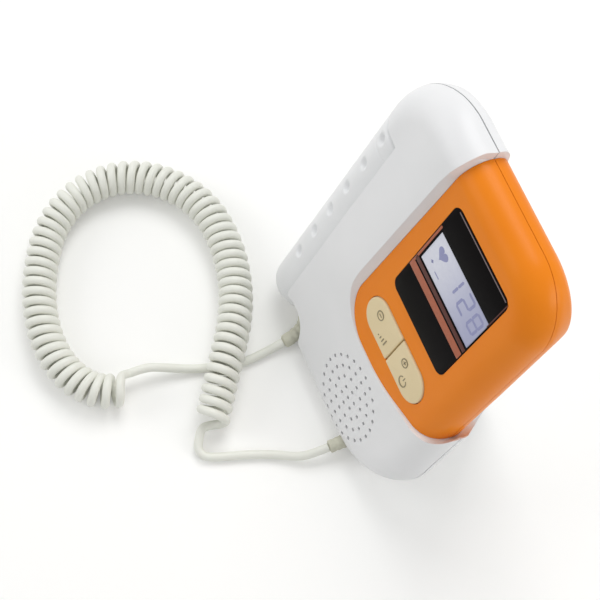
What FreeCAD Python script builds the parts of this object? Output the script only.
import FreeCAD, Part
import math
import os

# Hand-held fetal doppler: a leaning case on its own flat base, with a display, two keys and a speaker,
# a battery door at the back, and a bar-shaped probe docked along its left side on a curly cord.
# The case pieces are drawn in the frame of the front face: x across, y up the face, z out of it, with
# zero at the centre of the display label. One placement then leans them back onto the table.

V = FreeCAD.Vector
doc = FreeCAD.newDocument("doppler")
sheet = doc.addObject("Spreadsheet::Sheet", "dims")

SIZES = [
    ("lean", 23.95, "lean of the front face, degrees from upright"),
    ("centre_height", 87.0, "height of the label centre over the table"),
    ("seam", 10.5, "depth of the seam between the two shells below the face"),
    ("edge_round", 10.0, "rounding from the face into the flanks"),
    ("case_left", 58.2, "left flank from the label centre"),
    ("case_right", 31.5, "right flank of the white case"),
    ("case_top", 37.2, "top flank of the white case"),
    ("low_lift", 2.8, "bottom flank, above the line where the face would meet the table"),
    ("round_top_left", 26.0, "corner radius, top left"),
    ("round_top_right", 20.0, "corner radius, top right"),
    ("round_low_right", 30.0, "corner radius, lower right"),
    ("round_low_left", 30.0, "corner radius, lower left"),
    ("cover_step", 3.1, "how far the orange cover lies below the white top flank"),
    ("cover_step_right", 2.5, "how far it lies below the white right flank"),
    ("cover_left", 24.7, "left border of the orange cover"),
    ("cover_slant", 2.5, "how far the left border leans in at its upper end"),
    ("cover_low", 51.2, "lower border of the orange cover"),
    ("cover_rise", 8.8, "how far the lower border rises towards the right"),
    ("cover_end", 32.0, "where the border leaves the right flank"),
    ("cover_round_left", 14.0, "corner of the cover, lower left"),
    ("cover_round_right", 7.0, "corner of the cover, lower right"),
    ("cover_skin", 2.0, "thickness of the orange covers"),
    ("cover_back", 20.0, "depth at which the rear cover ends"),
    ("shoulder", 2.7, "height of the raised white shoulder beside the cover"),
    ("shoulder_bevel", 2.0, "width of the bevel down to the cover"),
    ("wall", 2.2, "wall of the shells"),
    ("back_wall", 4.0, "wall behind the batteries, with the door let into it"),
    ("back_depth", 25.8, "depth of the back plane at the label centre"),
    ("back_tilt", 18.5, "angle of the back plane to the face, degrees"),
    ("back_taper", 22.0, "draft of the flanks behind the seam, degrees"),
    ("probe_out", 48.2, "probe axis, left of the label centre"),
    ("probe_deep", 10.0, "probe axis below the face"),
    ("probe_radius", 10.0, "radius of the probe barrel"),
    ("probe_head", 8.0, "upper end of the probe"),
    ("probe_lift", 15.2, "lower end of the probe barrel, above the same line"),
    ("tail_length", 5.0, "length of the tapered tail"),
    ("grip_first", 9.0, "first grip dimple below the label centre"),
    ("grip_pitch", 13.5, "pitch of the grip dimples"),
    ("grip_depth", 0.7, "depth of a grip dimple"),
    ("grip_width", 3.4, "width of a grip dimple"),
    ("grip_turn", 124.0, "direction of the grip dimples round the probe, degrees from the right"),
    ("grip_count", 6, "number of grip dimples"),
    ("dock_gap", 0.3, "clearance of the probe in its dock"),
    ("dock_lip", 3.7, "edge of the dock lip from the probe axis"),
    ("arch_mid", 38.2, "cord arch, left of the label centre"),
    ("arch_radius", 8.8, "radius of the cord arch"),
    ("arch_lift", 18.2, "top of the cord arch, above the line where the face would meet the table"),
    ("label_width", 33.0, "display label"),
    ("label_height", 44.0, "display label"),
    ("label_round", 3.0, "display label corners"),
    ("label_skin", 0.6, "display label thickness"),
    ("label_sink", 0.45, "recess for the label"),
    ("view_margin", 2.2, "how much wider the label is than its window"),
    ("view_height", 14.3, "viewing window"),
    ("view_x", 0.6, "viewing window centre"),
    ("view_y", 2.85, "viewing window centre"),
    ("keys_x", -0.5, "middle of the two keys"),
    ("keys_y", -36.1, "middle of the two keys"),
    ("keys_width", 33.8, "both keys together"),
    ("keys_height", 13.4, "height of the keys"),
    ("keys_round", 6.4, "outer corners of the keys"),
    ("keys_split", 0.5, "gap between the keys"),
    ("key_gap", 0.25, "clearance round a key"),
    ("key_proud", 0.5, "height of a key over the cover"),
    ("key_flange", 1.2, "flange that keeps a key in"),
    ("key_travel", 0.8, "travel of a key"),
    ("grille_x", -1.5, "centre of the speaker grille"),
    ("grille_y", -71.2, "centre of the speaker grille"),
    ("grille_pitch", 3.5, "pitch of the rings of holes"),
    ("grille_rings", 4, "rings of holes round the middle one"),
    ("grille_hole", 1.3, "hole diameter"),
    ("speaker_radius", 14.0, "speaker basket"),
    ("speaker_depth", 5.0, "speaker basket"),
    ("board_depth", 8.6, "front side of the circuit board below the face"),
    ("board_thick", 1.6, "circuit board"),
    ("display_thick", 2.8, "display glass and frame"),
    ("post_radius", 2.6, "posts that carry the circuit board"),
    ("cell_radius", 7.1, "AA cell"),
    ("cell_length", 50.0, "AA cell"),
    ("cell_gap", 0.2, "clearance round a cell"),
    ("cells_x", -5.6, "middle of the two cells"),
    ("cells_low", 64.0, "lower end of the cells along the back"),
    ("tray_wall", 1.8, "wall of the battery tray"),
    ("door_skin", 2.0, "battery door"),
    ("door_ledge", 2.0, "ledge that the door lies on"),
    ("door_gap", 0.25, "clearance round the door"),
    ("door_travel", 8.0, "travel of the battery door"),
    ("screw_head", 2.5, "head radius of a case screw"),
    ("screw_shank", 1.2, "shank radius of a case screw"),
    ("foot_radius", 3.5, "rubber foot"),
    ("foot_sink", 1.0, "pocket of a rubber foot"),
    ("foot_proud", 0.6, "height of a rubber foot under the base"),
    ("cord_diameter", 3.0, "cord"),
    ("coil_diameter", 12.0, "outer diameter of the curly part"),
    ("boot_diameter", 5.0, "strain reliefs"),
    ("plug_diameter", 5.6, "barrel of the plug"),
    ("plug_depth", 9.0, "how far the plug goes in"),
    ("plug_x", 6.7, "plug, right of the label centre"),
    ("plug_lift", 7.0, "mouth of the jack, behind the line where the face would meet the table"),
    ("plug_height", 5.2, "plug axis over the table"),
]


class Size:
    """A named value of the sheet, or a sum or product of them, with the expression that gives it."""

    def __init__(self, value, text):
        self.v = value
        self.t = text

    def __add__(self, other):
        other = size(other)
        return Size(self.v + other.v, "(%s + %s)" % (self.t, other.t))

    def __sub__(self, other):
        other = size(other)
        return Size(self.v - other.v, "(%s - %s)" % (self.t, other.t))

    def __mul__(self, other):
        other = size(other)
        return Size(self.v * other.v, "(%s * %s)" % (self.t, other.t))

    def __truediv__(self, other):
        other = size(other)
        return Size(self.v / other.v, "(%s / %s)" % (self.t, other.t))

    def __neg__(self):
        return Size(-self.v, "(-%s)" % self.t)


def size(value):
    if isinstance(value, Size):
        return value
    return Size(float(value), "(%r)" % float(value))


D = {}
for row, (alias, value, note) in enumerate(SIZES, start=1):
    sheet.set("A%d" % row, alias)
    sheet.set("B%d" % row, str(value))
    sheet.set("C%d" % row, note)
    sheet.setAlias("B%d" % row, alias)
    D[alias] = Size(float(value), "dims.%s" % alias)
doc.recompute()


lean = math.radians(D["lean"].v)
foot_line = D["centre_height"] * (1.0 / math.cos(lean))
D["case_low"] = foot_line - D["low_lift"]
D["probe_tail"] = foot_line - D["probe_lift"]
D["arch_top"] = foot_line - D["arch_lift"]
D["view_width"] = D["label_width"] - D["view_margin"]
fore = -D["centre_height"].v * math.tan(lean)
ahead = fore + 38.64  # the cords and feet are drawn for a front edge 38.64 ahead of the label centre


def bind(obj, prop, value):
    """Bind one property to the expression of a Size."""
    obj.setExpression(prop, size(value).t)


def corners(points):
    """Lines and tangent arcs of a closed outline; each point is x, y and its corner radius."""
    n = len(points)
    ends = []
    for i in range(n):
        x0, y0, _ = points[i - 1]
        x1, y1, r = points[i]
        x2, y2, _ = points[(i + 1) % n]
        p = V(x1, y1, 0)
        a = (V(x0, y0, 0) - p).normalize()
        b = (V(x2, y2, 0) - p).normalize()
        if r <= 0:
            ends.append((p, p, None))
            continue
        half = a.getAngle(b) / 2
        reach = r / math.tan(half)
        mid = (a + b).normalize()
        centre = p + mid * (r / math.sin(half))
        ends.append((p + a * reach, p + b * reach, centre - mid * r))
    edges = []
    for i in range(n):
        start, end, middle = ends[i]
        if middle is not None:
            edges.append(Part.Arc(start, middle, end))
        following = ends[(i + 1) % n][0]
        if end.distanceToPoint(following) > 1e-6:
            edges.append(Part.LineSegment(end, following))
    return edges


def sketch(name, points, z=0.0, across=False):
    """An outline in the plane at height z, or in the plane across the case (y up the face, z out)."""
    s = doc.addObject("Sketcher::SketchObject", name)
    s.addGeometry(corners([(size(x).v, size(y).v, size(r).v) for x, y, r in points]), False)
    if across:
        s.Placement = FreeCAD.Placement(V(0, 0, 0), FreeCAD.Rotation(V(1, 1, 1), 120))
        bind(s, "Placement.Base.x", z)
    else:
        bind(s, "Placement.Base.z", z)
    return s


def prism(name, outline, length):
    """A sketch drawn out along its normal."""
    e = doc.addObject("Part::Extrusion", name)
    e.Base = outline
    e.DirMode = "Normal"
    bind(e, "LengthFwd", length)
    e.Solid = True
    return e


def loft(name, first, second):
    e = doc.addObject("Part::Loft", name)
    e.Sections = [first, second]
    e.Solid = True
    e.Ruled = True
    return e


def cylinder(name, radius, height, x, y, z, axis=V(0, 0, 1)):
    c = doc.addObject("Part::Cylinder", name)
    bind(c, "Radius", radius)
    bind(c, "Height", height)
    c.Placement = FreeCAD.Placement(V(0, 0, 0), FreeCAD.Rotation(V(0, 0, 1), axis))
    for letter, value in (("x", x), ("y", y), ("z", z)):
        bind(c, "Placement.Base." + letter, value)
    return c


def box(name, x0, y0, z0, length, width, height):
    b = doc.addObject("Part::Box", name)
    for prop, value in (("Length", length), ("Width", width), ("Height", height)):
        bind(b, prop, value)
    for letter, value in (("x", x0), ("y", y0), ("z", z0)):
        bind(b, "Placement.Base." + letter, value)
    return b


def cut(name, base, *tools):
    for i, tool in enumerate(tools):
        c = doc.addObject("Part::Cut", name if i == len(tools) - 1 else "%s_step%d" % (name, i))
        c.Base = base
        c.Tool = tool
        base = c
    return base


def fuse(name, *items):
    f = doc.addObject("Part::MultiFuse", name)
    f.Shapes = list(items)
    f.Refine = True
    return f


def common(name, *items):
    f = doc.addObject("Part::MultiCommon", name)
    f.Shapes = list(items)
    return f


def rounded(name, base, radius, wanted):
    """Fillet of the edges that the test picks, by their middle and their length."""
    doc.recompute()
    picked = []
    for i, edge in enumerate(base.Shape.Edges, start=1):
        if wanted(edge):
            picked.append((i, radius.v, radius.v))
    f = doc.addObject("Part::Fillet", name)
    f.Base = base
    f.Edges = picked
    return f


def at_height(z):
    def test(edge):
        return all(abs(p.z - z) < 1e-4 for p in edge.discretize(5))
    return test


# ---------------------------------------------------------------- outlines of the case
left = -D["case_left"]
right = D["case_right"]
top = D["case_top"]
low = -D["case_low"]
seam = -D["seam"]
slope = math.tan(math.radians(D["back_taper"].v))
far = 42.0


def case_outline(name, inset_top, inset_right, z, shrink=0.0):
    """The case outline, optionally set in at the top and right, and shrunk for the drafted back."""
    s = shrink
    radii = [D["round_top_left"], D["round_top_right"], D["round_low_right"], D["round_low_left"]]
    r = [max(2.0, radius.v - s) for radius in radii]
    r[1] = max(2.0, r[1] - max(0.0, inset_right.v - D["cover_step_right"].v))
    return sketch(name, [(left + s, top - inset_top - s, r[0]),
                         (left + s, low + s, r[3]),
                         (right - inset_right - s, low + s, r[2]),
                         (right - inset_right - s, top - inset_top - s, r[1])], z)


zero = size(0.0)
step_top = D["cover_step"]
step_right = D["cover_step_right"]
core_top = step_top + D["cover_skin"]
core_right = step_right + D["cover_skin"]

# Side view of the case: flat base, leaning back plane.
tilt = math.radians(D["back_tilt"].v)


def base_y(z, lift=0.0):
    """Height up the face where the base plane, raised by lift, is met at depth z."""
    return (-(D["centre_height"].v - lift) - math.sin(lean) * z) / math.cos(lean)


def back_z(y, lift=0.0):
    """Depth of the back plane, moved inward by lift, at height y."""
    return -D["back_depth"].v + lift / math.cos(tilt) + math.tan(tilt) * y


def side_view(name, lift_base, lift_back, x, front=4.0, head=60.0):
    """Side outline in y and z, between the base plane, the back plane and the front."""
    # the corner where the base plane and the back plane meet
    a = back_z(0.0, lift_back)
    b = base_y(0.0, lift_base)
    m = -math.tan(lean)
    yc = (b + m * a) / (1.0 - m * math.tan(tilt))
    zc = back_z(yc, lift_back)
    return sketch(name, [(base_y(front, lift_base), front, 0), (yc, zc, 0),
                         (head, back_z(head, lift_back), 0), (head, front, 0)], x, across=True)


side = prism("side_block", side_view("side_line", D["foot_proud"].v, 0.0, -90.0), 160.0)

# Region under the orange covers, a prism through the whole depth.
cover_area = [(-D["cover_left"] + D["cover_slant"], 80.0, 0), (-D["cover_left"] + D["cover_slant"], 24.0, 600),
              (-D["cover_left"], -D["cover_low"], D["cover_round_left"]), (3.0, -D["cover_low"], 50),
              (right - 1.7, -D["cover_low"] + D["cover_rise"], D["cover_round_right"]),
              (right - 1.5, -D["cover_end"], 1.5), (right + 0.5, -D["cover_end"], 0), (right + 0.5, 80.0, 0)]
area = prism("cover_area", sketch("cover_area_line", cover_area, -60.0), 70.0)

# ---------------------------------------------------------------- front shell
front_case = rounded("front_case", prism("front_block", case_outline("front_line", zero, zero, seam),
                                         D["seam"]), D["edge_round"], at_height(0.0))
tall_case = rounded("tall_case", prism("tall_block", case_outline("tall_line", zero, zero, seam),
                                       D["seam"] + D["shoulder"]), D["edge_round"],
                    at_height(D["shoulder"].v))
cover_block = rounded("cover_block", prism("cover_prism", case_outline("cover_line", step_top,
                                                                       step_right, seam), D["seam"]),
                      D["edge_round"] - 1.5, at_height(0.0))
core_block = rounded("core_block", prism("core_prism", case_outline("core_line", core_top, core_right,
                                                                    seam), D["seam"] - D["cover_skin"]),
                     D["edge_round"] - 3.5, at_height(-D["cover_skin"].v))

crest = -D["probe_out"]
bevel_top = -D["cover_left"] - D["shoulder_bevel"]
wedge_line = doc.addObject("Sketcher::SketchObject", "wedge_line")
wedge_line.addGeometry(corners([(crest.v, seam.v, 0), (-D["cover_left"].v, seam.v, 0),
                                (-D["cover_left"].v, 0.1, 0), (bevel_top.v, D["shoulder"].v, 0),
                                (crest.v, 0.0, 0)]), False)
wedge_line.Placement = FreeCAD.Placement(V(0, 60, 0), FreeCAD.Rotation(V(1, 0, 0), 90))
wedge = prism("wedge", wedge_line, 130.0)
fade = prism("fade", sketch("fade_line", [(-60.0, seam, 0), (45.0, seam, 0), (45.0, D["shoulder"] + 1, 0),
                                          (-36.0, D["shoulder"] + 0.1, 0), (-53.0, 0.0, 0),
                                          (-60.0, 0.0, 0)], -90.0, across=True), 160.0)
raised = common("raised_shoulder", tall_case, wedge, fade)

trough_top = D["probe_head"] + D["dock_gap"]
trough = cylinder("trough", D["probe_radius"] + D["dock_gap"], trough_top + 110.0, crest, trough_top,
                  -D["probe_deep"], V(0, -1, 0))
open_side = box("open_side", -80.0, -110.0, -D["probe_deep"] - D["probe_radius"] - D["dock_gap"],
                crest + D["dock_lip"] + 80.0, trough_top + 110.0, 40.0)
arch_low = cylinder("arch_round", D["arch_radius"], 60.0, -D["arch_mid"], -D["arch_top"] - D["arch_radius"],
                    -D["probe_deep"] - D["probe_radius"] - D["dock_gap"])
arch_box = box("arch_box", -D["arch_mid"] - D["arch_radius"], -120.0,
               -D["probe_deep"] - D["probe_radius"] - D["dock_gap"], D["arch_radius"] * 2,
               -D["arch_top"] - D["arch_radius"] + 120.0, 60.0)

inside_left = crest + D["probe_radius"] + D["dock_gap"] + D["wall"] - 0.6
inside_right = right - core_right - D["wall"]
inside_top = top - core_top - D["wall"]
inside_low = low + 7.4
arch_right = -D["arch_mid"] + D["arch_radius"] + D["wall"]


def inside_line(name, z, s=0.0):
    """Outline of the hollow, which passes to the right of the cord arch."""
    return sketch(name, [(inside_left + s, inside_top - s, 4.0),
                         (inside_left + s, -D["arch_top"] + 4.5, 2.0),
                         (arch_right + s * 0.4, -D["arch_top"] + 1.0, 2.0),
                         (arch_right + s * 0.4, inside_low, 2.0),
                         (inside_right - s, inside_low, max(3.0, 22.0 - s)),
                         (inside_right - s, inside_top - s, max(3.0, 11.0 - s))], z)


front_wall = D["cover_skin"] + D["wall"]
hollow = prism("front_hollow", inside_line("front_hollow_line", seam - 1.0), D["seam"] + 1.0 - front_wall)
base_room = prism("base_room", side_view("base_room_line", 2.2, 2.2, -90.0), 160.0)
front_hollow = common("front_hollow_cut", hollow, base_room)

speaker_seat = cylinder("speaker_seat", D["speaker_radius"] + 0.2, D["seam"] + 1.0 - D["wall"],
                        D["grille_x"], D["grille_y"], seam - 1.0)
holes = doc.addObject("Sketcher::SketchObject", "grille_line")
for ring in range(int(D["grille_rings"].v) + 1):
    count = max(1, 6 * ring)
    for k in range(count):
        angle = 2 * math.pi * k / count + math.radians(30.0)
        centre = V(D["grille_x"].v + ring * D["grille_pitch"].v * math.cos(angle),
                   D["grille_y"].v + ring * D["grille_pitch"].v * math.sin(angle), 0)
        holes.addGeometry(Part.Circle(centre, V(0, 0, 1), D["grille_hole"].v / 2), False)
bind(holes, "Placement.Base.z", -D["wall"] - 2.0)
grille = prism("grille_holes", holes, D["wall"] + 6.0)


key_hole = prism("key_hole", sketch("key_hole_line", [
    (D["keys_x"] - D["keys_width"] / 2 - D["key_gap"], D["keys_y"] - D["keys_height"] / 2 - D["key_gap"],
     D["keys_round"] + D["key_gap"]),
    (D["keys_x"] + D["keys_width"] / 2 + D["key_gap"], D["keys_y"] - D["keys_height"] / 2 - D["key_gap"],
     D["keys_round"] + D["key_gap"]),
    (D["keys_x"] + D["keys_width"] / 2 + D["key_gap"], D["keys_y"] + D["keys_height"] / 2 + D["key_gap"],
     D["keys_round"] + D["key_gap"]),
    (D["keys_x"] - D["keys_width"] / 2 - D["key_gap"], D["keys_y"] + D["keys_height"] / 2 + D["key_gap"],
     D["keys_round"] + D["key_gap"])], -front_wall - 1.0), front_wall + 3.0)
view_hole = box("view_hole", D["view_x"] - D["view_width"] / 2, D["view_y"] - D["view_height"] / 2,
                -front_wall - 1.0, D["view_width"], D["view_height"], front_wall + 4.0)

posts = []
screw_places = [(-28.0, 21.0), (11.0, 21.0), (-29.0, -47.0)]
boards = [(size(x), size(y)) for x, y in screw_places]
boards.append((inside_right - 4.0, D["keys_y"] - 10.5))
for i, (x, y) in enumerate(boards):
    posts.append(cylinder("post_%d" % i, D["post_radius"], D["board_depth"] - front_wall + 0.6, x, y,
                          -D["board_depth"]))

front_plain = cut("front_plain", fuse("front_white", front_case, raised), area)
front_core = common("front_core", core_block, area)
front_whole = cut("front_whole", fuse("front_joined", front_plain, front_core), trough, open_side,
                  arch_low, arch_box)
front_based = common("front_based", front_whole, side)
front_open = cut("front_open", front_based, front_hollow, speaker_seat, grille, key_hole, view_hole)

label_hole = prism("label_hole", sketch("label_hole_line", [
    (-D["label_width"] / 2 - 0.1, -D["label_height"] / 2 - 0.1, D["label_round"]),
    (D["label_width"] / 2 + 0.1, -D["label_height"] / 2 - 0.1, D["label_round"]),
    (D["label_width"] / 2 + 0.1, D["label_height"] / 2 + 0.1, D["label_round"]),
    (-D["label_width"] / 2 - 0.1, D["label_height"] / 2 + 0.1, D["label_round"])], -D["label_sink"]), 3.0)
skin = cut("cover_skin_block", cover_block, core_block)
front_cover = cut("front_cover", common("cover_in_area", skin, area), label_hole, key_hole, view_hole)

# ---------------------------------------------------------------- rear shell
deep = D["seam"] + far
draft = far * slope


def back_block(name, inset_top, inset_right):
    a = case_outline(name + "_near", inset_top, inset_right, -deep, draft)
    b = case_outline(name + "_seam", inset_top, inset_right, seam)
    return loft(name, a, b)


back_white = back_block("back_white", zero, zero)
back_cover = back_block("back_cover", step_top, step_right)
back_core = back_block("back_core", core_top, core_right)


white_part = common("back_white_part", cut("back_white_cut", back_white, area), side)
cover_part = common("back_cover_part", back_cover, area, side)
slab = box("cover_slab", -90.0, -120.0, -D["cover_back"], 180.0, 200.0, D["cover_back"] - D["seam"])
rear_cover = cut("rear_cover", common("rear_skin_part", cover_part, slab), back_core)
behind = box("behind_cover", -90.0, -120.0, -D["cover_back"] - 60.0, 180.0, 200.0, 60.0)
behind_part = common("behind_part", cover_part, behind)
core_part = common("core_part", back_core, area, side)
rear_all = fuse("rear_all", white_part, behind_part, core_part)

rear_line_a = inside_line("rear_hollow_seam", seam + 1.0)
rear_line_b = inside_line("rear_hollow_deep", -D["seam"] - 34.0, 34.0 * slope)
rear_hollow = common("rear_hollow_cut", loft("rear_hollow", rear_line_b, rear_line_a),
                     prism("rear_room", side_view("rear_room_line", 2.2, D["back_wall"].v, -90.0), 160.0))

# Door recess and opening, drawn in the back plane's own frame: x across, y up the back, z inward.
to_back = FreeCAD.Placement(V(0, 0, -D["back_depth"].v), FreeCAD.Rotation(V(1, 0, 0), D["back_tilt"].v))
cells_width = D["cell_radius"] * 4 + D["cell_gap"] * 3
tray_x0 = D["cells_x"] - cells_width / 2
tray_y0 = -D["cells_low"]
tray_length = D["cell_length"] + 3.6
door_x0 = tray_x0 - D["door_ledge"]
door_width = cells_width + D["door_ledge"] * 2
door_y0 = tray_y0 - D["door_ledge"]
door_length = tray_length + D["door_ledge"] * 2


def in_back(obj):
    """Moves a primitive from the back plane's frame into the frame of the face."""
    doc.recompute()
    here = FreeCAD.Placement(obj.Placement)
    for letter in "xyz":
        obj.setExpression("Placement.Base." + letter, None)
    obj.Placement = to_back.multiply(here)
    return obj


recess = in_back(box("door_recess", door_x0 - D["door_gap"], door_y0 - D["door_gap"] - D["door_travel"],
                     -3.0, door_width + D["door_gap"] * 2,
                     door_length + D["door_gap"] * 2 + D["door_travel"], D["door_skin"] + 3.0))
opening = in_back(box("door_opening", tray_x0, tray_y0, -1.0, cells_width, tray_length,
                      D["back_wall"] + 3.0))

# Placements: the face frame leans back onto the table, under the label centre's axes.
in_room = FreeCAD.Placement(V(0, 0, D["centre_height"].v), FreeCAD.Rotation(V(1, 0, 0), 90.0 - D["lean"].v))
to_face = in_room.inverse()


def room_cylinder(name, radius, height, x, y, z, axis=V(0, 1, 0)):
    """A cylinder given over the table, moved into the frame of the face."""
    c = doc.addObject("Part::Cylinder", name)
    bind(c, "Radius", radius)
    bind(c, "Height", height)
    here = FreeCAD.Placement(V(size(x).v, size(y).v, size(z).v), FreeCAD.Rotation(V(0, 0, 1), axis))
    c.Placement = to_face.multiply(here)
    return c


# ---------------------------------------------------------------- jack and feet, given over the table
plug_front = fore + D["plug_lift"].v
jack_radius = D["plug_diameter"] / 2 + 1.6
jack_seat = room_cylinder("jack_seat", jack_radius, D["plug_depth"] + 1.0, D["plug_x"], plug_front,
                          D["plug_height"])
jack_mouth = room_cylinder("jack_mouth", D["plug_diameter"] / 2 + 0.2, 8.0, D["plug_x"], plug_front - 6.0,
                           D["plug_height"])
jack_block = room_cylinder("jack_block", jack_radius, D["plug_depth"] + 1.0, D["plug_x"], plug_front,
                           D["plug_height"])
jack_bore = room_cylinder("jack_bore", D["plug_diameter"] / 2, D["plug_depth"], D["plug_x"],
                          plug_front - 0.5, D["plug_height"])
jack_socket = cut("jack_socket", jack_block, jack_bore)
foot_places = [(x, y + ahead) for x, y in ((-20.0, -19.0), (-3.0, -19.0), (-30.0, 7.5), (4.5, 7.5))]
foot_pockets = []
feet = []
for i, (x, y) in enumerate(foot_places, start=1):
    foot_pockets.append(room_cylinder("foot_pocket_%d" % i, D["foot_radius"], D["foot_sink"] + 1.0, x, y,
                                      D["foot_proud"] - 1.0, V(0, 0, 1)))
    feet.append(room_cylinder("rubber_foot_%d" % i, D["foot_radius"], D["foot_sink"] + D["foot_proud"],
                              x, y, 0.0, V(0, 0, 1)))

# ---------------------------------------------------------------- screws and their posts
screws = []
screw_posts = []
screw_holes = []
for i, (x, y) in enumerate(screw_places, start=1):
    z_back = back_z(y)
    z_head = z_back + 3.5
    reach = -3.6 - z_head
    screw_posts.append(cylinder("screw_post_%d" % i, 3.4, seam.v - z_head - 0.0, x, y, z_head))
    screw_holes.append(cylinder("screw_bore_%d" % i, D["screw_head"] + 0.2, 14.0, x, y, z_head + 2.0 - 14.0))
    screw_holes.append(cylinder("screw_clear_%d" % i, D["screw_shank"], -5.2 - z_head, x, y, z_head))
    screws.append(fuse("case_screw_%d" % i,
                       cylinder("screw_head_%d" % i, D["screw_head"], 1.6, x, y, z_head + 0.4),
                       cylinder("screw_shank_%d" % i, D["screw_shank"], -6.2 - z_head, x, y,
                                z_head + 1.0)))

rear_posts = common("rear_posts", fuse("rear_post_all", *screw_posts), cut("rear_solid", back_core, trough))
rear_shell = cut("rear_shell", fuse("rear_with_posts",
                                  cut("rear_hollowed", rear_all, rear_hollow), rear_posts),
                trough, open_side, arch_low, arch_box, recess, opening, jack_seat, *foot_pockets,
                *screw_holes)
front_shell = cut("front_shell", fuse("front_with_posts", front_open, *posts), jack_seat, jack_mouth,
                  *foot_pockets, *screw_holes)

# ---------------------------------------------------------------- display, keys, speaker, board
def body_pad(name, points, z, length, pockets=()):
    """A PartDesign body: one padded outline, with pockets through it."""
    body = doc.addObject("PartDesign::Body", name)
    plane = [f for f in body.Origin.OriginFeatures if f.Role == "XY_Plane"][0]
    s = body.newObject("Sketcher::SketchObject", name + "_outline")
    s.AttachmentSupport = (plane, "")
    s.MapMode = "FlatFace"
    bind(s, "AttachmentOffset.Base.z", z)
    s.addGeometry(corners([(size(x).v, size(y).v, size(r).v) for x, y, r in points]), False)
    pad = body.newObject("PartDesign::Pad", name + "_pad")
    pad.Profile = s
    bind(pad, "Length", length)
    for i, shape in enumerate(pockets):
        p = body.newObject("Sketcher::SketchObject", "%s_pocket_line_%d" % (name, i))
        p.AttachmentSupport = (plane, "")
        p.MapMode = "FlatFace"
        bind(p, "AttachmentOffset.Base.z", size(z) + length)
        p.addGeometry(corners([(size(x).v, size(y).v, size(r).v) for x, y, r in shape]), False)
        pocket = body.newObject("PartDesign::Pocket", "%s_pocket_%d" % (name, i))
        pocket.Profile = p
        pocket.Type = "ThroughAll"
    return body


def rectangle(x, y, width, height, r=0.0):
    x, y = size(x), size(y)
    return [(x - size(width) / 2, y - size(height) / 2, r), (x + size(width) / 2, y - size(height) / 2, r),
            (x + size(width) / 2, y + size(height) / 2, r), (x - size(width) / 2, y + size(height) / 2, r)]


label_plate = body_pad("label_plate", rectangle(0, 0, D["label_width"], D["label_height"], D["label_round"]),
                       -D["label_sink"], D["label_skin"],
                       [rectangle(D["view_x"], D["view_y"], D["view_width"], D["view_height"])])
display_window = body_pad("display_window", rectangle(D["view_x"], D["view_y"], D["view_width"],
                                                      D["view_height"]), -D["label_sink"] - 1.2,
                          D["label_skin"] + 1.2)
display_glass = body_pad("display_glass", rectangle(D["view_x"], D["view_y"], D["view_width"] + 1.6,
                                                    D["view_height"] + 3.0),
                         -front_wall - D["display_thick"] + 0.0, D["display_thick"])
frame_depth = D["board_depth"] - front_wall
display_frame = body_pad("display_frame", rectangle(D["view_x"], D["view_y"], D["view_width"] + 4.6,
                                                    D["view_height"] + 6.0), -D["board_depth"], frame_depth,
                         [rectangle(D["view_x"], D["view_y"], D["view_width"] + 1.6,
                                    D["view_height"] + 3.0)])
board_points = [(inside_left + 0.6, inside_top - 0.6, 4.0), (inside_left + 0.6, D["keys_y"] - 14.0, 1.0),
                (inside_right - 0.6, D["keys_y"] - 14.0, 1.0), (inside_right - 0.6, inside_top - 0.6, 10.4)]
screw_eye = D["screw_shank"] * 2 + 0.4
main_board = body_pad("main_board", board_points, -D["board_depth"] - D["board_thick"], D["board_thick"],
                      [rectangle(x, y, screw_eye, screw_eye, screw_eye / 2 - 0.01)
                       for x, y in screw_places])

flange_top = -front_wall
keys = []
for name, half in (("button_left", -1.0), ("button_right", 1.0)):
    inner = D["keys_x"] + (D["keys_split"] / 2) * half
    outer = D["keys_x"] + (D["keys_width"] / 2) * half
    y0 = D["keys_y"] - D["keys_height"] / 2
    y1 = D["keys_y"] + D["keys_height"] / 2
    stem = prism(name + "_stem", sketch(name + "_line", [(inner, y0, 0.3), (outer, y0, D["keys_round"]),
                                                         (outer, y1, D["keys_round"]), (inner, y1, 0.3)],
                                        flange_top - 0.2), front_wall + D["key_proud"] + 0.2)
    soft = rounded(name + "_soft", stem, size(0.4), at_height(D["key_proud"].v))
    flange = prism(name + "_flange", sketch(name + "_flange_line", [
        (inner, y0 - 1.0, 0.3), (outer + 1.0 * half, y0 - 1.0, D["keys_round"]),
        (outer + 1.0 * half, y1 + 1.0, D["keys_round"]), (inner, y1 + 1.0, 0.3)],
        flange_top - D["key_flange"] - 0.05), D["key_flange"])
    keys.append(fuse(name, soft, flange))
button_left, button_right = keys
mat_top = front_wall + D["key_flange"] + D["key_travel"] + 0.15
key_mat = body_pad("key_mat", rectangle(D["keys_x"], D["keys_y"], D["keys_width"] - 2.0,
                                        D["keys_height"] - 2.0, 3.0), -D["board_depth"],
                   D["board_depth"] - mat_top)

speaker_top = -D["wall"]
basket = cylinder("speaker_basket", D["speaker_radius"], 1.2, D["grille_x"], D["grille_y"], speaker_top - 1.2)
magnet = cylinder("speaker_magnet", D["speaker_radius"] * 0.55, D["speaker_depth"] - 1.2, D["grille_x"],
                  D["grille_y"], speaker_top - D["speaker_depth"])
cone = doc.addObject("Part::Cone", "speaker_cone")
bind(cone, "Radius1", D["speaker_radius"] * 0.6)
bind(cone, "Radius2", D["speaker_radius"])
bind(cone, "Height", 2.0)
for letter, value in (("x", D["grille_x"]), ("y", D["grille_y"]), ("z", speaker_top - 3.2)):
    bind(cone, "Placement.Base." + letter, value)
speaker = fuse("speaker", basket, magnet, cone)

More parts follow.
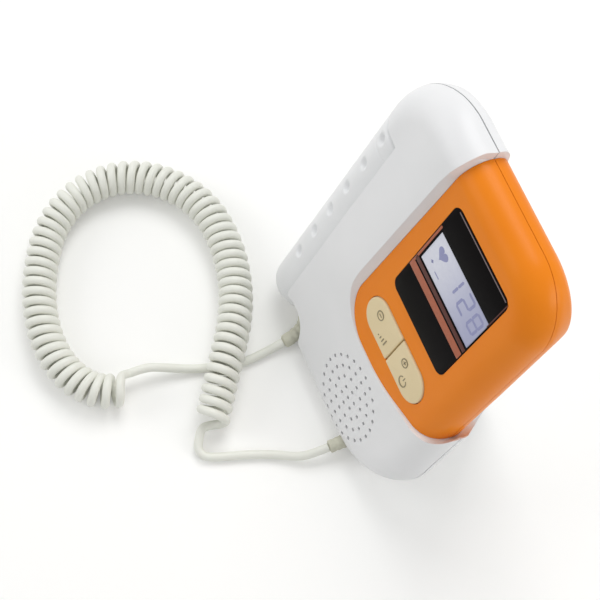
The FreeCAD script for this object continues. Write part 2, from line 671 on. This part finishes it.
# ---------------------------------------------------------------- batteries, tray and door
tray_depth = D["cell_radius"] * 2 + D["door_skin"] + D["cell_gap"] * 2
tray_out = in_back(box("tray_out", tray_x0 - D["tray_wall"], tray_y0 - D["tray_wall"], D["back_wall"],
                       cells_width + D["tray_wall"] * 2, tray_length + D["tray_wall"] * 2,
                       tray_depth + D["tray_wall"] - D["back_wall"]))
tray_in = in_back(box("tray_in", tray_x0, tray_y0, 0.0, cells_width, tray_length, tray_depth))
battery_tray = cut("battery_tray", tray_out, tray_in)
cells = []
for i in (0, 1):
    x = tray_x0 + D["cell_radius"] * (1 + 2 * i) + D["cell_gap"] * (1 + i)
    z = D["door_skin"] + D["cell_gap"] + D["cell_radius"]
    can = cylinder("cell_can_%d" % i, D["cell_radius"], D["cell_length"] - 1.4, x,
                   tray_y0 + 3.0 if i == 0 else tray_y0 + D["cell_length"] - 0.4 + 1.0, z,
                   V(0, 1, 0) if i == 0 else V(0, -1, 0))
    tip = cylinder("cell_tip_%d" % i, 2.7, 1.4, x, tray_y0 + D["cell_length"] + 1.6 if i == 0
                   else tray_y0 + 2.0, z, V(0, 1, 0) if i == 0 else V(0, -1, 0))
    cells.append(fuse("cell_%d" % (i + 1), in_back(can), in_back(tip)))
contact_top = in_back(box("contact_top_box", tray_x0 + 1.0, tray_y0 + tray_length - 0.5, 4.0,
                          cells_width - 2.0, 0.5, 9.0))
contact_low = in_back(box("contact_low_box", tray_x0 + 1.0, tray_y0, 4.0, cells_width - 2.0, 0.5, 9.0))

door = in_back(box("door_plate", door_x0, door_y0, 0.0, door_width, door_length, D["door_skin"]))
ridges = []
for i in range(4):
    ridges.append(in_back(box("door_ridge_%d" % i, D["cells_x"] - 7.0, door_y0 + door_length - 8.0 - 2.2 * i,
                              -0.5, 14.0, 1.0, 1.0)))
battery_door = fuse("battery_door", door, *ridges)

# ---------------------------------------------------------------- probe
def probe_profile():
    """Half section of the probe: straight barrel, tapered tail, rounded head."""
    r = D["probe_radius"].v
    tail = -D["probe_tail"].v
    head = D["probe_head"].v
    end = tail - D["tail_length"].v
    points = [V(r - 3.0, head, 0), V(0, head, 0), V(0, end, 0), V(0.55 * r, end, 0), V(r, tail, 0),
              V(r, head - 3.0, 0)]
    edges = [Part.LineSegment(a, b) for a, b in zip(points, points[1:])]
    edges.append(Part.Arc(points[-1], V(r - 0.88, head - 0.88, 0), points[0]))
    return edges


probe_line = doc.addObject("Sketcher::SketchObject", "probe_line")
probe_line.addGeometry(probe_profile(), False)
probe_turned = doc.addObject("Part::Revolution", "probe_turned")
probe_turned.Source = probe_line
probe_turned.Axis = V(0, 1, 0)
probe_turned.Solid = True
probe_turned.Angle = 360.0
head_room = cylinder("probe_head_room", D["probe_radius"] - 1.6, 12.0, 0.0, D["probe_head"] - 12.0 + 0.0, 0.0,
                     V(0, 1, 0))
turn = math.radians(D["grip_turn"].v)
grip_radius = D["grip_width"] * (D["grip_width"].v / 8 / D["grip_depth"].v) + D["grip_depth"] / 2
grip_out = D["probe_radius"] + grip_radius - D["grip_depth"]
grips = []
for k in range(int(D["grip_count"].v)):
    ball = doc.addObject("Part::Sphere", "grip_%d" % k)
    bind(ball, "Radius", grip_radius)
    bind(ball, "Placement.Base.x", grip_out * math.cos(turn))
    bind(ball, "Placement.Base.y", -D["grip_first"] - D["grip_pitch"] * k)
    bind(ball, "Placement.Base.z", grip_out * math.sin(turn))
    grips.append(ball)
probe_shell = cut("probe_shell", probe_turned, head_room, *grips)
probe_lens = cylinder("probe_lens", D["probe_radius"] - 1.6, 2.0, 0.0, D["probe_head"] - 2.0, 0.0,
                      V(0, 1, 0))
probe_crystal = cylinder("probe_crystal", D["probe_radius"] - 3.0, 1.5, 0.0, D["probe_head"] - 3.5, 0.0,
                         V(0, 1, 0))
probe_backing = cylinder("probe_backing", D["probe_radius"] - 1.6, 8.5, 0.0, D["probe_head"] - 12.0, 0.0,
                         V(0, 1, 0))
probe_parts = [probe_shell, probe_lens, probe_crystal, probe_backing]

# ---------------------------------------------------------------- cords, given over the table
def route(points, share=0.45):
    """Straight runs joined by tangent arcs, moved along with the front edge of the base; returns the
    wire, its length and the radii."""
    pts = [V(x, y + ahead, z) for x, y, z in points]
    edges = []
    radii = []
    start = pts[0]
    for i in range(1, len(pts) - 1):
        p = pts[i]
        a = (pts[i - 1] - p)
        b = (pts[i + 1] - p)
        shorter = min(a.Length, b.Length)
        a.normalize()
        b.normalize()
        half_turn = (math.pi - a.getAngle(b)) / 2
        reach = share * shorter
        radius = reach / math.tan(half_turn)
        radii.append(radius)
        m = (a + b).normalize()
        centre = p + m * (radius / math.cos(half_turn))
        t1 = p + a * reach
        t2 = p + b * reach
        edges.append(Part.makeLine(start, t1))
        edges.append(Part.Arc(t1, centre - m * radius, t2).toShape())
        start = t2
    edges.append(Part.makeLine(start, pts[-1]))
    wire = Part.Wire(edges)
    return wire, wire.Length, radii


def tube(name, points, diameter):
    """A round tube along a route, with its volume compared with its section times its length."""
    wire, length, radii = route(points)
    first = wire.Edges[0]
    direction = first.tangentAt(first.FirstParameter)
    ring = Part.Wire([Part.makeCircle(diameter / 2, wire.Vertexes[0].Point, direction)])
    solid = wire.makePipeShell([ring], True, False)
    solid = Part.Solid(Part.Shell(solid.Faces)) if solid.ShapeType != "Solid" else solid
    if solid.Volume < 0:
        solid.reverse()
    share = solid.Volume / (math.pi * diameter * diameter / 4 * length)
    print(name, "length %.1f" % length, "volume share %.4f" % share,
          "radii", [round(r, 1) for r in radii])
    f = doc.addObject("Part::Feature", name)
    f.Shape = solid
    return f


cd = D["cord_diameter"].v
bd = D["boot_diameter"].v
boot_end = (-33.3, -38.0, 2.6)
boot_back = plug_front - 7.2 - ahead
probe_boot = tube("probe_boot", [(-43.6, -25.0, 6.0), (-37.6, -27.2, 4.0), (-33.9, -31.6, 3.4), boot_end], bd)
lead_cord = tube("lead_cord", [boot_end, (-32.64, -45.04, 1.72), (-32.2, -52.5, 1.6), (-34.2, -61.0, 1.6),
                               (-36.8, -69.5, 1.8), (-40.2, -78.0, 4.2), (-42.1, -83.6, 6.1),
                               (-42.1, -89.0, 6.1)], cd)
coil_cord = tube("coil_cord", [(-37.6, -89.0, 6.1), (-37.6, -98.5, 6.1), (-47.5, -107.5, 6.1),
                               (-60.5, -110.6, 6.1), (-75.0, -109.0, 6.1), (-90.0, -103.0, 6.1),
                               (-103.0, -94.0, 6.1), (-110.5, -81.0, 6.1), (-110.5, -66.0, 6.1),
                               (-103.0, -53.0, 6.1), (-89.5, -43.8, 6.1), (-74.0, -42.0, 6.1),
                               (-59.0, -44.3, 6.6), (-45.5, -49.8, 8.6), (-33.5, -57.8, 9.9),
                               (-21.5, -66.6, 8.4), (-12.3, -72.9, 6.2)], D["coil_diameter"].v)
tail_cord = tube("tail_cord", [(-14.15, -75.6, 3.4), (-10.6, -78.0, 2.2), (-7.2, -77.2, 1.6),
                               (-5.2, -72.4, 1.6), (-2.4, -63.6, 1.6), (1.3, -55.0, 1.6),
                               (5.6, -48.5, 3.2), (D["plug_x"].v, boot_back - 4.6, D["plug_height"].v),
                               (D["plug_x"].v, boot_back, D["plug_height"].v)], cd)
plug_boot = room_cylinder("plug_boot", D["boot_diameter"] / 2, 7.4, D["plug_x"], plug_front - 7.2,
                          D["plug_height"])
plug = room_cylinder("plug", D["plug_diameter"] / 2 - 0.05, D["plug_depth"] - 1.2, D["plug_x"],
                     plug_front + 0.2, D["plug_height"])

# ---------------------------------------------------------------- placements, checks and files
doc.recompute()
face_parts = [front_shell, rear_shell, front_cover, rear_cover, label_plate, display_window, display_glass,
              display_frame, main_board, button_left, button_right, key_mat, speaker, battery_tray,
              cells[0], cells[1], contact_top, contact_low, battery_door, jack_socket, plug_boot, plug]
face_parts += feet + screws
names = {contact_top: "battery_contact_top", contact_low: "battery_contact_low"}
in_probe = FreeCAD.Placement(V(-D["probe_out"].v, 0, -D["probe_deep"].v), FreeCAD.Rotation())
room_parts = [probe_boot, lead_cord, coil_cord, tail_cord]
cord_parts = [probe_boot, lead_cord, coil_cord, tail_cord, plug_boot, plug]


def place(obj, placement):
    """Sets the placement of a finished piece over the table."""
    here = FreeCAD.Placement(obj.Placement)
    for letter in "xyz":
        obj.setExpression("Placement.Base." + letter, None)
    obj.Placement = placement.multiply(here)


for obj in face_parts:
    place(obj, in_room)
for obj in probe_parts:
    place(obj, in_room.multiply(in_probe))
doc.recompute()

all_parts = face_parts + probe_parts + room_parts
rigid = Part.makeCompound([o.Shape for o in all_parts if o not in cord_parts])
ext = rigid.optimalBoundingBox(False)
shift = FreeCAD.Placement(V(-(ext.XMin + ext.XMax) / 2, -(ext.YMin + ext.YMax) / 2, 0), FreeCAD.Rotation())
for obj in all_parts:
    place(obj, shift)
doc.recompute()
print("shift", shift.Base, "height", round(ext.ZMin, 3), round(ext.ZMax, 2))

for obj in doc.Objects:
    if "Invalid" in obj.State or "Error" in obj.State:
        raise RuntimeError("%s failed: %s" % (obj.Name, obj.State))
os.makedirs("parts", exist_ok=True)
for obj in all_parts:
    node = names.get(obj, obj.Name)
    obj.Label = node
    shape = obj.Shape
    if shape.isNull() or not shape.isValid() or len(shape.Solids) != 1:
        raise RuntimeError("%s: bad shape, %d solids" % (node, len(shape.Solids)))
    b = shape.optimalBoundingBox(False)
    print("%-20s %9.1f  X %7.1f %7.1f  Y %7.1f %7.1f  Z %7.2f %7.1f" % (
        node, shape.Volume, b.XMin, b.XMax, b.YMin, b.YMax, b.ZMin, b.ZMax))
    shape.exportStep("parts/%s.step" % node)
